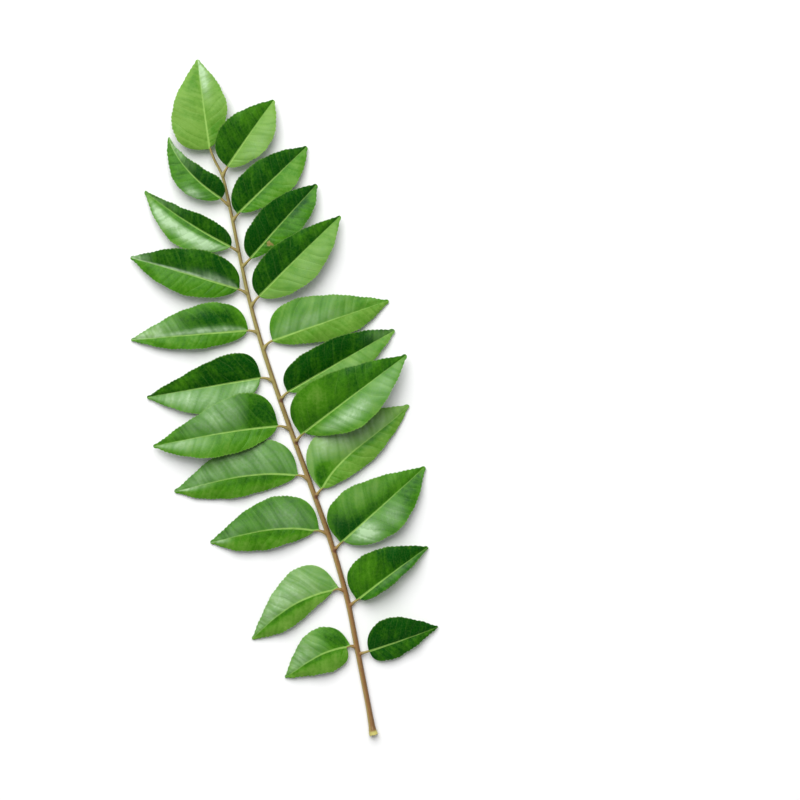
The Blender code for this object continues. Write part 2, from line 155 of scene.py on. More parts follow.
# The leaflets from the sprig's tip, as in the solids. The last pair says how deep a green the
# distal and the proximal half have, from 0 for fresh to 1 for dark: partly the leaflet's own
# green, partly painted shade on a half that tilts away from the light and painted light on one
# that faces it
LEAFLETS = (
    Leaflet("terminal", None, (-0.0036, 0.2094), 6.5, 0.0308,
            Half(0.0116, 0.32, 2.7, 1.7, 4), Half(0.0080, 0.45, 1.7, 1.65, 4),
            0.02, (0.0, 0.5), (0.0036, 0.0014, 0.0006), 0, (0.06, 0.10)),
    Leaflet("right_1", 0.1985, (0.0007, 0.2014), 49, 0.0279,
            Half(0.0090, 0.37, 2.3, 1.7, 22), Half(0.0078, 0.48, 1.6, 2.1, 8),
            0.0, (0.0, 0.5), (0.0036, 0.0014, 0.0020), 0, (0.84, 0.08)),
    Leaflet("right_2", 0.1830, (0.0008, 0.1854), 60, 0.0322,
            Half(0.0083, 0.36, 2.3, 1.9, 22), Half(0.0071, 0.52, 1.5, 2.2, 7),
            0.03, (0.0, 0.5), (0.0029, 0.0010, 0.0012), 0, (0.90, 0.42)),
    Leaflet("right_3", 0.1670, (0.0003, 0.1691), 56.5, 0.0341,
            Half(0.0077, 0.42, 2.3, 2.0, 26), Half(0.0064, 0.56, 1.4, 2.4, 8),
            0.0, (0.0, 0.5), (0.0028, 0.0018, 0.0024), 0, (0.99, 0.62)),
    Leaflet("right_4", 0.1530, (-0.0001, 0.1558), 60, 0.0392,
            Half(0.0083, 0.33, 2.4, 1.65, 22), Half(0.0091, 0.43, 1.65, 1.95, 8),
            0.0, (0.0, 0.5), (0.0024, 0.0026, 0.0028), 0, (0.92, 0.22)),
    Leaflet("right_5", 0.1375, (0.0005, 0.1399), 85.5, 0.0422,
            Half(0.0109, 0.29, 2.6, 1.55, 0), Half(0.0065, 0.52, 1.5, 2.3, -6),
            0.0, (0.0, 0.5), (0.0019, 0.0022, 0.0006), 0, (0.43, 0.22)),
    Leaflet("right_6", 0.1192, (0.0017, 0.1217), 74.5, 0.0418,
            Half(0.0085, 0.34, 2.8, 2.2, 26), Half(0.0066, 0.50, 1.5, 2.1, 8),
            0.015, (0.0, 0.5), (0.0016, 0.0010, 0.0008), 0, (0.98, 0.34)),
    Leaflet("right_7", 0.1038, (0.0031, 0.1067), 67.5, 0.0440,
            Half(0.0124, 0.26, 2.8, 1.45, 12), Half(0.0104, 0.40, 1.4, 1.85, 12),
            0.03, (0.0, 0.5), (0.0023, 0.0048, 0.0036), 0, (0.78, 0.47)),
    Leaflet("right_8", 0.0840, (0.0045, 0.0868), 61, 0.0409,
            Half(0.0127, 0.29, 2.6, 2.0, 2), Half(0.0067, 0.42, 1.6, 1.5, 0),
            0.02, (0.0019, 0.30), (0.0018, 0.0010, 0.0006), 0, (0.20, 0.20)),
    Leaflet("right_9", 0.0645, (0.0067, 0.0674), 62.5, 0.0378,
            Half(0.0126, 0.30, 3.0, 1.4, 10), Half(0.0099, 0.44, 1.7, 1.85, 10),
            0.03, (0.0, 0.5), (0.0019, 0.0020, 0.0008), 0, (0.56, 0.58)),
    Leaflet("right_10", 0.0450, (0.0071, 0.0469), 68, 0.0293,
            Half(0.0110, 0.30, 2.8, 1.8, 10), Half(0.0029, 0.38, 2.2, 1.9, 55),
            0.035, (0.0003, 0.5), (0.0020, 0.0016, 0.0008), 8, (0.76, 0.86)),
    Leaflet("right_11", 0.0284, (0.0058, 0.0285), 85.5, 0.0250,
            Half(0.0091, 0.38, 2.1, 1.6, 20), Half(0.0053, 0.34, 2.8, 1.35, -12),
            0.005, (0.0, 0.5), (0.0021, 0.0018, 0.0010), 0, (0.99, 0.87)),
    Leaflet("left_1", 0.1885, (-0.0042, 0.1915), -26, 0.0279,
            Half(0.0053, 0.26, 2.4, 1.0, 32), Half(0.0064, 0.42, 1.8, 1.65, 6),
            0.0, (-0.0024, 0.55), (0.0033, 0.0012, 0.0012), 0, (0.98, 0.58)),
    Leaflet("left_2", 0.1725, (-0.0053, 0.1747), -42.5, 0.0352,
            Half(0.0050, 0.30, 2.2, 1.15, 30), Half(0.0088, 0.44, 1.5, 1.75, 9),
            0.0, (-0.0009, 0.5), (0.0026, 0.0010, 0.0010), 0, (0.92, 0.42)),
    Leaflet("left_3", 0.1575, (-0.0066, 0.1601), -59, 0.0384,
            Half(0.0093, 0.34, 2.4, 1.7, 20), Half(0.0072, 0.42, 1.6, 2.0, 2),
            0.01, (0.0, 0.5), (0.0024, 0.0026, 0.0018), 0, (0.88, 0.56)),
    Leaflet("left_4", 0.1436, (-0.0072, 0.1455), -80, 0.0400,
            Half(0.0105, 0.31, 2.5, 1.5, 12), Half(0.0049, 0.43, 1.9, 2.1, -4),
            0.01, (0.0, 0.5), (0.0020, 0.0018, 0.0006), -12, (0.56, 0.50)),
    Leaflet("left_5", 0.1260, (-0.0070, 0.1286), -85, 0.0394,
            Half(0.0097, 0.24, 3.2, 1.28, 24), Half(0.0094, 0.40, 1.8, 1.95, 7),
            0.01, (0.0, 0.5), (0.0016, 0.0010, 0.0008), 0, (0.95, 0.48)),
    Leaflet("left_6", 0.1085, (-0.0055, 0.1111), -84.5, 0.0429,
            Half(0.0125, 0.26, 2.9, 1.22, 8), Half(0.0078, 0.45, 1.7, 2.1, 6),
            0.01, (0.0007, 0.4), (0.0019, 0.0038, 0.0026), 0, (0.54, 0.42)),
    Leaflet("left_7", 0.0900, (-0.0035, 0.0932), -83, 0.0421,
            Half(0.0120, 0.30, 3.1, 1.65, 1), Half(0.0069, 0.46, 1.55, 2.1, -8),
            0.02, (0.0021, 0.4), (0.0018, 0.0016, 0.0006), 0, (0.56, 0.40)),
    Leaflet("left_8", 0.0703, (-0.0022, 0.0733), -82, 0.0359,
            Half(0.0113, 0.29, 3.1, 1.6, 0), Half(0.0067, 0.47, 1.5, 2.0, -8),
            0.05, (0.0021, 0.4), (0.0020, 0.0024, 0.0006), 0, (0.64, 0.36)),
    Leaflet("left_9", 0.0501, (-0.0011, 0.0518), -106.5, 0.0325,
            Half(0.0109, 0.22, 3.1, 1.27, -2), Half(0.0063, 0.52, 1.35, 1.9, -8),
            0.065, (0.0028, 0.45), (0.0021, 0.0022, 0.0006), 0, (0.33, 0.23)),
    Leaflet("left_10", 0.0304, (-0.0015, 0.0318), -102, 0.0236,
            Half(0.0088, 0.33, 3.0, 1.65, -2), Half(0.0070, 0.33, 2.2, 1.4, -6),
            0.06, (0.0017, 0.4), (0.0021, 0.0018, 0.0008), 0, (0.40, 0.25)),
)

# The joints whose leaf stalks leave a dark spot on the stalk
DARK_JOINTS = ("right_6", "right_7", "right_8", "right_9")

# The leaflet with a small brown blemish: its place along and across, its size, and the share by
# which distances across it count
BLEMISHED = "right_3"
BLEMISH = (0.24, -0.42, 0.0009, 0.7)

# Patches on the leaflets: the leaflet, the middle along and across, the reach along and across,
# how much pale painted sheen lies there and how much deeper the green is, partly the leaflet's
# own tone and partly painted shade
PATCHES = (
    ("terminal", 0.90, -0.30, 0.14, 0.38, 1.30, 0.0),
    ("terminal", 0.70, -0.20, 0.14, 0.22, 0.55, 0.0),
    ("terminal", 0.78, 0.35, 0.14, 0.35, 0.0, 0.35),
    ("terminal", 0.15, -0.50, 0.14, 0.40, 0.0, 0.30),
    ("right_1", 0.75, 0.60, 0.22, 0.50, 0.0, -0.25),
    ("right_1", 0.40, -0.60, 0.40, 0.45, 0.15, 0.0),
    ("right_2", 0.30, -0.15, 0.30, 0.20, 0.0, 0.25),
    ("right_3", 0.70, -0.15, 0.20, 0.20, 0.0, 0.35),
    ("right_4", 0.80, 0.60, 0.20, 0.50, 0.0, -0.20),
    ("right_4", 0.45, -0.60, 0.45, 0.50, 0.12, 0.0),
    ("right_5", 0.30, 0.25, 0.35, 0.30, 0.30, 0.0),
    ("right_5", 0.55, 0.80, 0.35, 0.25, 0.10, 0.0),
    ("right_6", 0.92, 0.40, 0.12, 0.60, 0.18, -0.45),
    ("right_6", 0.55, -0.50, 0.30, 0.50, 0.10, 0.0),
    ("right_7", 0.22, 0.60, 0.20, 0.40, 0.0, -0.40),
    ("right_7", 0.42, -0.45, 0.12, 0.22, 0.70, 0.0),
    ("right_7", 0.24, -0.50, 0.10, 0.25, 0.45, 0.0),
    ("right_7", 0.75, -0.50, 0.25, 0.50, 0.25, 0.0),
    ("right_8", 0.35, 0.70, 0.30, 0.45, 0.55, -0.10),
    ("right_8", 0.65, 0.30, 0.25, 0.40, 0.30, 0.0),
    ("right_8", 0.06, 0.30, 0.16, 0.35, -0.3, 0.60),
    ("right_8", 0.60, -0.12, 0.35, 0.20, 0.0, 0.40),
    ("right_9", 0.40, 0.70, 0.30, 0.35, 0.10, -0.20),
    ("right_9", 0.08, 0.30, 0.14, 0.50, 0.0, 0.50),
    ("right_9", 0.35, 0.12, 0.25, 0.15, 0.0, 0.30),
    ("right_9", 0.20, -0.40, 0.12, 0.40, 1.10, 0.0),
    ("right_9", 0.50, -0.45, 0.10, 0.35, 0.35, 0.0),
    ("right_9", 0.78, -0.40, 0.18, 0.50, 0.0, 0.25),
    ("right_10", 0.70, 0.55, 0.25, 0.50, 0.0, 0.35),
    ("right_10", 0.25, 0.50, 0.20, 0.50, 0.0, -0.20),
    ("right_10", 0.55, -0.30, 0.35, 0.35, 0.15, 0.0),
    ("left_1", 0.90, 0.40, 0.28, 0.90, 0.50, -0.75),
    ("left_1", 0.27, -0.75, 0.10, 0.25, 0.70, 0.0),
    ("left_2", 0.85, 0.40, 0.20, 0.70, 0.20, -0.40),
    ("left_2", 0.42, -0.44, 0.26, 0.20, 1.30, 0.0),
    ("left_2", 0.74, -0.60, 0.12, 0.26, 1.05, 0.0),
    ("left_2", 0.18, -0.65, 0.12, 0.30, 0.90, 0.0),
    ("left_2", 0.35, -0.10, 0.40, 0.13, -0.40, 0.30),
    ("left_3", 0.15, 0.14, 0.20, 0.13, 0.60, 0.0),
    ("left_3", 0.55, 0.04, 0.40, 0.05, 1.10, 0.0),
    ("left_3", 0.97, 0.10, 0.10, 0.80, 0.80, -0.45),
    ("left_4", 0.35, 0.10, 0.40, 0.09, 0.80, 0.0),
    ("left_4", 0.85, 0.40, 0.22, 0.60, 0.60, -0.35),
    ("left_4", 0.30, 0.50, 0.24, 0.28, 0.0, 0.50),
    ("left_5", 0.75, 0.50, 0.25, 0.60, 0.0, -0.20),
    ("left_5", 0.12, -0.50, 0.08, 0.35, 0.80, 0.0),
    ("left_5", 0.72, -0.40, 0.22, 0.40, 0.55, 0.0),
    ("left_5", 0.40, -0.50, 0.25, 0.60, 0.25, 0.0),
    ("left_6", 0.45, 0.60, 0.24, 0.50, 0.45, 0.0),
    ("left_6", 0.10, 0.50, 0.14, 0.55, -0.2, 0.45),
    ("left_6", 0.80, -0.25, 0.22, 0.35, 0.50, 0.0),
    ("left_6", 0.25, -0.25, 0.25, 0.30, 0.0, 0.20),
    ("left_7", 0.35, 0.50, 0.35, 0.60, 0.35, 0.0),
    ("left_7", 0.80, 0.40, 0.20, 0.50, 0.25, 0.0),
    ("left_7", 0.90, -0.05, 0.14, 0.20, 0.80, 0.0),
    ("left_7", 0.30, -0.20, 0.35, 0.30, 0.0, 0.40),
    ("left_8", 0.25, 0.35, 0.25, 0.45, 0.30, 0.0),
    ("left_8", 0.80, 0.35, 0.20, 0.50, 0.18, 0.0),
    ("left_8", 0.92, -0.10, 0.08, 0.30, 0.80, 0.0),
    ("left_8", 0.35, -0.20, 0.35, 0.30, 0.0, 0.40),
    ("left_9", 0.50, 0.50, 0.50, 0.60, 0.55, 0.0),
    ("left_9", 0.45, -0.12, 0.40, 0.20, 0.0, 0.50),
    ("left_10", 0.45, -0.12, 0.40, 0.20, 0.0, 0.45),
    ("left_10", 0.65, 0.45, 0.30, 0.60, 0.45, 0.0),
    ("left_10", 0.05, 0.50, 0.16, 0.50, -0.1, 0.50),
)


class LeafSettings(bpy.types.PropertyGroup):
    """Sizes and colours of the leaflets."""

    thickness: FloatProperty(
        name="Blade thickness", description="Thickness of a leaflet's blade",
        default=0.00034, min=0.0001, max=0.001, precision=5, unit="LENGTH")
    row_spacing: FloatProperty(
        name="Row spacing", description="Distance between rows of points along a blade",
        default=0.00029, min=0.0001, max=0.002, precision=5, unit="LENGTH")
    columns: IntProperty(
        name="Columns", description="Columns of faces in each half of a blade",
        default=20, min=6, max=40)
    tooth_spacing: FloatProperty(
        name="Tooth spacing", description="Distance between the small teeth of a margin",
        default=0.00130, min=0.0004, max=0.005, precision=5, unit="LENGTH")
    tooth_depth: FloatProperty(
        name="Tooth depth", description="How far the teeth of a margin stand out",
        default=0.00030, min=0.0, max=0.001, precision=5, unit="LENGTH")
    margin_wander: FloatProperty(
        name="Margin wander", description="How unevenly a margin runs",
        default=0.00010, min=0.0, max=0.001, precision=5, unit="LENGTH")
    vein_pairs: IntProperty(
        name="Vein pairs", description="Side veins in each half of a leaflet",
        default=11, min=4, max=24)
    vein_depth: FloatProperty(
        name="Vein depth", description="How deep the side veins lie between raised panels",
        default=0.00015, min=0.0, max=0.001, precision=5, unit="LENGTH")
    swell: FloatProperty(
        name="Swell", description="Height of the slow rise and fall of a blade",
        default=0.00010, min=0.0, max=0.001, precision=5, unit="LENGTH")
    rib_width: FloatProperty(
        name="Rib width", description="Half the width of the midrib at the base of a blade",
        default=0.00044, min=0.0001, max=0.002, precision=5, unit="LENGTH")
    rib_height: FloatProperty(
        name="Rib height", description="How far the midrib stands out under a blade",
        default=0.00042, min=0.0, max=0.001, precision=5, unit="LENGTH")
    dark_green: FloatVectorProperty(
        name="Dark green", description="Colour of the darkest blades", subtype="COLOR",
        size=3, min=0, max=1, default=(0.001, 0.066, 0.0005))
    leaf_green: FloatVectorProperty(
        name="Leaf green", description="Colour of the blades in between", subtype="COLOR",
        size=3, min=0, max=1, default=(0.055, 0.215, 0.004))
    fresh_green: FloatVectorProperty(
        name="Fresh green", description="Colour of the freshest blades", subtype="COLOR",
        size=3, min=0, max=1, default=(0.165, 0.340, 0.045))
    # Painted sheen: the pale whitish green laid where the glossy blade would reflect the light
    painted_sheen_green: FloatVectorProperty(
        name="Wax green", description="Colour of the pale wax", subtype="COLOR",
        size=3, min=0, max=1, default=(0.470, 0.660, 0.400))
    rib_green: FloatVectorProperty(
        name="Rib green", description="Colour of the midrib and veins", subtype="COLOR",
        size=3, min=0, max=1, default=(0.330, 0.560, 0.120))
    under_green: FloatVectorProperty(
        name="Underside green", description="Colour of the paler underside", subtype="COLOR",
        size=3, min=0, max=1, default=(0.150, 0.320, 0.090))
    blemish_brown: FloatVectorProperty(
        name="Blemish brown", description="Colour of a dry spot", subtype="COLOR",
        size=3, min=0, max=1, default=(0.300, 0.220, 0.070))


class StalkSettings(bpy.types.PropertyGroup):
    """Sizes and colours of the stalk and its leaf stalks."""

    voxel: FloatProperty(
        name="Voxel", description="Size of the grid that grows the leaf stalks into the stalk",
        default=0.00014, min=0.0001, max=0.001, precision=5, unit="LENGTH")
    ragged: FloatProperty(
        name="Ragged end", description="How uneven the cut end is",
        default=0.00022, min=0.0, max=0.001, precision=5, unit="LENGTH")
    low_brown: FloatVectorProperty(
        name="Lower brown", description="Colour of the bark near the cut end", subtype="COLOR",
        size=3, min=0, max=1, default=(0.260, 0.125, 0.034))
    high_olive: FloatVectorProperty(
        name="Upper olive", description="Colour of the bark near the tip", subtype="COLOR",
        size=3, min=0, max=1, default=(0.310, 0.268, 0.076))
    leaf_stalk_tan: FloatVectorProperty(
        name="Leaf stalk tan", description="Colour of the leaf stalks", subtype="COLOR",
        size=3, min=0, max=1, default=(0.330, 0.262, 0.066))
    joint_brown: FloatVectorProperty(
        name="Joint brown", description="Colour of the dark spots at joints", subtype="COLOR",
        size=3, min=0, max=1, default=(0.090, 0.022, 0.008))
    cut_green: FloatVectorProperty(
        name="Cut green", description="Colour of the fresh cut end", subtype="COLOR",
        size=3, min=0, max=1, default=(0.520, 0.470, 0.130))


class StudioSettings(bpy.types.PropertyGroup):
    """The floor, the light and the camera."""

    floor_size: FloatProperty(
        name="Floor size", description="Side of the square floor",
        default=12.0, min=0.5, max=50, unit="LENGTH")
    floor_colour: FloatVectorProperty(
        name="Floor colour", description="Colour of the floor", subtype="COLOR",
        size=3, min=0, max=1, default=(0.93, 0.93, 0.925))
    key_power: FloatProperty(
        name="Key power", description="Power of the large soft light",
        default=60.0, min=0, max=500, unit="POWER")
    key_size: FloatProperty(
        name="Key size", description="Side of the large soft light",
        default=2.0, min=0.05, max=5, unit="LENGTH")
    key_distance: FloatProperty(
        name="Key distance", description="Distance of the large soft light",
        default=2.2, min=0.2, max=10, unit="LENGTH")
    key_heading: FloatProperty(
        name="Key heading", description="Where the light comes from, round from +Y to +X",
        default=math.radians(0), subtype="ANGLE")
    key_rise: FloatProperty(
        name="Key rise", description="How high the light stands above the floor",
        default=math.radians(52), subtype="ANGLE")
    air_low: FloatProperty(
        name="Air behind", description="Strength of the soft light from the cut end's side",
        default=0.19, min=0, max=5)
    air_high: FloatProperty(
        name="Air ahead", description="Strength of the soft light from the tip's side",
        default=0.64, min=0, max=5)
    camera_turn: FloatProperty(
        name="Camera turn", description="Turn of the camera about the vertical",
        default=math.radians(-14.6), subtype="ANGLE")
    camera_distance: FloatProperty(
        name="Camera distance", description="Height of the camera over the floor",
        default=0.7644, min=0.1, max=10, unit="LENGTH")
    camera_lens: FloatProperty(
        name="Camera lens", description="Focal length in millimetres",
        default=100.0, min=10, max=300)
    view_centre: FloatVectorProperty(
        name="View centre", description="Where on the floor the camera looks", size=2,
        subtype="XYZ", unit="LENGTH", default=(0.0401, -0.0108))


class Shader:
    """The node tree of one procedural material, with short ways to add to it."""

    def __init__(self, name):
        self.material = bpy.data.materials.new(name)
        self.material.use_nodes = True
        self.tree = self.material.node_tree
        self.surface = self.tree.nodes["Principled BSDF"]

    def node(self, kind, **settings):
        made = self.tree.nodes.new(kind)
        for name, value in settings.items():
            setattr(made, name, value)
        return made

    def put(self, value, socket):
        """Link an output to a socket, or set a plain number or colour on it."""
        if isinstance(value, bpy.types.NodeSocket):
            self.tree.links.new(value, socket)
        else:
            socket.default_value = value

    def attribute(self, name):
        return self.node("ShaderNodeAttribute", attribute_name=name).outputs["Fac"]

    def maths(self, operation, first, second=0.0, third=0.0):
        made = self.node("ShaderNodeMath", operation=operation)
        for value, socket in zip((first, second, third), made.inputs):
            self.put(value, socket)
        return made.outputs[0]

    def times(self, first, second):
        return self.maths("MULTIPLY", first, second)

    def scaled(self, value, factor, offset):
        return self.maths("MULTIPLY_ADD", value, factor, offset)

    def between(self, value, low, high, start=0.0, end=1.0):
        """A smooth step from start to end as value goes from low to high."""
        made = self.node("ShaderNodeMapRange", interpolation_type="SMOOTHSTEP")
        for name, given in (("Value", value), ("From Min", low), ("From Max", high),
                            ("To Min", start), ("To Max", end)):
            self.put(given, made.inputs[name])
        return made.outputs["Result"]

    def mix(self, share, first, second):
        """A colour between two, through the mix node's sockets for colours."""
        made = self.node("ShaderNodeMix", data_type="RGBA")
        self.put(share, made.inputs["Factor"])
        for value, socket in ((first, made.inputs[6]), (second, made.inputs[7])):
            self.put((*value, 1.0) if isinstance(value, tuple) else value, socket)
        return made.outputs[2]

    def places(self, stretch=(1.0, 1.0, 1.0)):
        """Object coordinates, stretched along the axes."""
        coordinates = self.node("ShaderNodeTexCoord").outputs["Object"]
        mapping = self.node("ShaderNodeMapping")
        self.tree.links.new(coordinates, mapping.inputs["Vector"])
        mapping.inputs["Scale"].default_value = stretch
        return mapping.outputs["Vector"]

    def noise(self, scale, detail, vector):
        made = self.node("ShaderNodeTexNoise")
        self.put(vector, made.inputs["Vector"])
        made.inputs["Scale"].default_value = scale
        made.inputs["Detail"].default_value = detail
        return made.outputs["Fac"]

    def bump(self, height, distance, strength, normal=None):
        made = self.node("ShaderNodeBump")
        made.inputs["Strength"].default_value = strength
        made.inputs["Distance"].default_value = distance
        self.put(height, made.inputs["Height"])
        if normal is not None:
            self.put(normal, made.inputs["Normal"])
        return made.outputs["Normal"]

    def finish(self, colour, roughness, normal, **plain):
        self.put(colour, self.surface.inputs["Base Color"])
        self.put(roughness, self.surface.inputs["Roughness"])
        self.put(normal, self.surface.inputs["Normal"])
        for name, value in plain.items():
            self.surface.inputs[name.replace("_", " ")].default_value = value
        return self.material


def deselect_all():
    if bpy.context.object and bpy.context.object.mode != "OBJECT":
        bpy.ops.object.mode_set(mode="OBJECT")
    bpy.ops.object.select_all(action="DESELECT")


def added(name):
    """The object that the last operator added, named."""
    item = bpy.context.object
    item.name = name
    item.data.name = name
    return item


def apply_modifier(item, kind, **settings):
    """Add a modifier with its settings and apply it."""
    bpy.context.view_layer.objects.active = item
    modifier = item.modifiers.new(kind.lower(), kind)
    for name, value in settings.items():
        setattr(modifier, name, value)
    bpy.ops.object.modifier_apply(modifier=modifier.name)


def read_points(mesh):
    points = np.empty(len(mesh.vertices) * 3, dtype=np.float32)
    mesh.vertices.foreach_get("co", points)
    return points.reshape(-1, 3).astype(float)


def write_points(mesh, points):
    mesh.vertices.foreach_set("co", np.asarray(points, dtype=np.float32).ravel())
    mesh.update()


def read_normals(mesh):
    normals = np.empty(len(mesh.vertices) * 3, dtype=np.float32)
    mesh.vertex_normals.foreach_get("vector", normals)
    return normals.reshape(-1, 3).astype(float)


def write_attribute(mesh, name, values):
    layer = mesh.attributes.new(name, "FLOAT", "POINT")
    layer.data.foreach_set("value", np.asarray(values, dtype=np.float32))


def read_attribute(mesh, name):
    values = np.empty(len(mesh.vertices), dtype=np.float32)
    mesh.attributes[name].data.foreach_get("value", values)
    return values


def ease(value, low, high):
    """A smooth step from 0 to 1 as value goes from low to high."""
    share = np.clip((value - low) / (high - low), 0, 1)
    return share * share * (3 - 2 * share)


def from_cut_end(across, along):
    return across + CUT_END[0], along + CUT_END[1]


def pointing(leaflet):
    """The way a leaflet points and the way to its distal side, both level."""
    turn = math.radians(leaflet.heading)
    ahead = np.array((math.sin(turn), math.cos(turn)))
    side = math.copysign(1, leaflet.heading)
    return ahead, side * np.array((-ahead[1], ahead[0]))


def width_at(half, s):
    """The width of a half at s: a rounded base, then a longer run in to a blunt tip."""
    nose = np.clip((s - NOSE_START) / (1 - NOSE_START), 0, 1)
    s = np.minimum(s, NOSE_START)
    back = np.clip(1 - s / half.widest, 0, 1)
    ahead = np.clip((s - half.widest) / (1 - half.widest), 0, 1)
    near = (1 - back ** half.base_round) ** (1 / half.base_round)
    outline = np.where(s < half.widest, near, 1 - ahead ** half.tip_round)
    return half.width * outline * np.sqrt(1 - nose ** 2)


def bow_at(bow, s):
    """How far the midrib stands to the distal side of its chord at s."""
    amount, widest = bow
    fall = (1 - widest) / widest
    return amount * (s / widest) * (np.clip(1 - s, 0, 1) / (1 - widest)) ** fall


def arch_at(leaflet, s):
    """The height of the midrib at s."""
    base, rise, tip = leaflet.heights
    return base + (tip - base) * s + 4 * rise * s * (1 - s)


def rib_width_at(settings, s):
    """Half the width of the midrib at s."""
    return settings.rib_width * (1 - RIB_THINNING * s ** 0.8)


class Blade:
    """Where the points of one blade lie, s from base to tip and t from -1 over the rib to 1."""

    def __init__(self, leaflet, number, settings, s, t):
        self.leaflet = leaflet
        self.number = number
        self.settings = settings
        self.s = s
        self.t = t
        self.out = np.abs(t)
        self.distal = t > 0
        self.width = self.of_half(width_at(leaflet.distal, s), width_at(leaflet.proximal, s))
        self.from_rib = self.out * self.width
        self.along = s * leaflet.length
        self.rib = rib_width_at(settings, s)

    def of_half(self, distal, proximal):
        return np.where(self.distal, distal, proximal)

    def vein_place(self):
        """Whole numbers lie on side veins, which leave the rib and curve towards the tip."""
        spacing = self.leaflet.length / self.settings.vein_pairs
        start = self.along - VEIN_LEAN * self.from_rib - VEIN_CURVE * self.from_rib ** 2
        turn = 0.37 * self.number + 0.21 * np.sign(self.t)
        wander = 0.20 * np.sin(2 * math.pi * (1.7 * self.s + turn))
        wander += 0.11 * np.sin(2 * math.pi * (4.3 * self.s + 2 * turn))
        return start / spacing + 0.25 * np.sign(self.t) + wander

    def relief(self):
        """Side veins lie a little below the panels between them, and the rib fills the fold."""
        place = self.vein_place()
        valley = np.abs(np.cos(math.pi * place)) ** 6
        valley += 0.45 * np.abs(np.sin(math.pi * place)) ** 12
        inside = np.sin(math.pi * self.out ** 0.75) ** 0.7 * np.sin(math.pi * self.s) ** 0.4
        uneven = 1 + 0.5 * np.sin(2 * math.pi * (0.23 * place + 0.6 * self.t + 0.3 * self.number))
        panels = self.settings.vein_depth * inside * uneven * (0.4 - valley)
        swell = np.sin(2 * math.pi * (0.31 * place - 0.8 * self.t + 0.17 * self.number))
        panels += self.settings.swell * inside * swell
        rib = RIB_CREST * np.exp(-(self.from_rib / self.rib) ** 2) * (1 - 0.6 * self.s)
        return panels + rib

    def teeth(self):
        """How far the margin stands out or in, in small rounded teeth that lean to the tip."""
        share = (self.along / self.settings.tooth_spacing + 0.4 * np.sign(self.t)) % 1
        hump = np.sin(math.pi * share ** 1.35)
        turn = 1.3 * self.number + np.sign(self.t)
        wander = np.sin(2 * math.pi * 3.3 * self.s + turn)
        wander += 0.7 * np.sin(2 * math.pi * 7.1 * self.s + 2.6 * turn)
        run = ease(self.s, *TEETH_START) * (1 - ease(self.s, *TEETH_STOP))
        out = self.settings.tooth_depth * (hump - 0.62) + self.settings.margin_wander * wander
        return np.sign(self.t) * out * run * self.out ** 8

    def height(self):
        leaflet = self.leaflet
        height = arch_at(leaflet, self.s)
        tilt = self.of_half(leaflet.distal.tilt + leaflet.twist * self.s,
                            leaflet.proximal.tilt - leaflet.twist * self.s)
        height += self.from_rib * np.tan(np.radians(tilt))
        height += HALF_BULGE * self.width * self.out * (1 - self.out)
        phase = WAVE_TURN_PER_LEAFLET * self.number + self.of_half(0, WAVE_TURN_ACROSS)
        wave = np.sin(2 * math.pi * EDGE_WAVES * self.s + phase) * np.sin(math.pi * self.s)
        return height + EDGE_WAVE * self.out ** 2 * wave + self.relief()

    def points(self):
        ahead, distal_side = pointing(self.leaflet)
        reach = np.clip(1 - self.s / LOBE_END, 0, 1) ** 2 * self.distal
        along = self.along - self.leaflet.length * self.leaflet.lobe * self.out ** 2 * reach
        sideways = bow_at(self.leaflet.bow, self.s) + self.t * self.width + self.teeth()
        start = np.array(from_cut_end(*self.leaflet.base))
        level = start + np.outer(along, ahead) + np.outer(sideways, distal_side)
        return np.column_stack((level, self.height()))

    def painted_sheen_and_depth(self):
        """How much pale painted sheen lies on a point, and how deep its green is, partly by
        painted shade.
        """
        distal, proximal = self.leaflet.tones
        depth = proximal + (distal - proximal) * ease(self.t * self.width, *HALF_BLEND)
        painted_sheen = np.zeros_like(self.s)
        for name, s, t, length, breadth, paler, deeper in PATCHES:
            if name == self.leaflet.name:
                away = ((self.s - s) / length) ** 2 + ((self.t - t) / breadth) ** 2
                share = ease(self.t * np.sign(t) * self.width, *PATCH_BLEND) * np.exp(-away)
                painted_sheen += paler * share
                depth += deeper * share
        return painted_sheen, depth

    def streaks(self):
        """Painted sheen and painted shade in soft light and dark streaks along the side veins,
        from 0 to 1.
        """
        place = self.vein_place()
        turn = 1.7 * self.number + 0.9 * np.sign(self.t)
        wave = np.sin(2 * math.pi * (0.47 * place + 0.35 * self.out) + turn)
        wave += 0.8 * np.sin(2 * math.pi * 1.21 * place + 2.3 * turn)
        wave += 0.7 * np.sin(2 * math.pi * 2.3 * place + 3.1 * turn) * np.sin(math.pi * self.out)
        return np.clip(0.5 + wave / 4, 0, 1)

    def blemish(self):
        """How near a point is to the dry spot, 1 at its middle."""
        if self.leaflet.name != BLEMISHED:
            return np.zeros_like(self.s)
        along, across, size, share = BLEMISH
        gap = np.hypot((self.s - along) * self.leaflet.length,
                       share * (self.t - across) * self.width)
        return np.exp(-(gap / size) ** 2)


def leaf_pattern(shader, vein_reach, rib_reach):
    """Object coordinates, and the side veins, the midrib and the net, each from 0 to 1."""
    places = shader.places()
    place = shader.attribute("vein_place")
    off_vein = shader.maths("SUBTRACT", place, shader.maths("ROUND", place))
    vein = shader.between(shader.maths("ABSOLUTE", off_vein), *vein_reach, 1.0, 0.0)
    rib = shader.between(shader.attribute("rib_share"), *rib_reach, 1.0, 0.0)
    cells = shader.node("ShaderNodeTexVoronoi", feature="DISTANCE_TO_EDGE")
    shader.put(places, cells.inputs["Vector"])
    cells.inputs["Scale"].default_value = NET_SCALE
    net = shader.between(cells.outputs["Distance"], 0.0, NET_LINE, 1.0, 0.0)
    return places, vein, rib, net


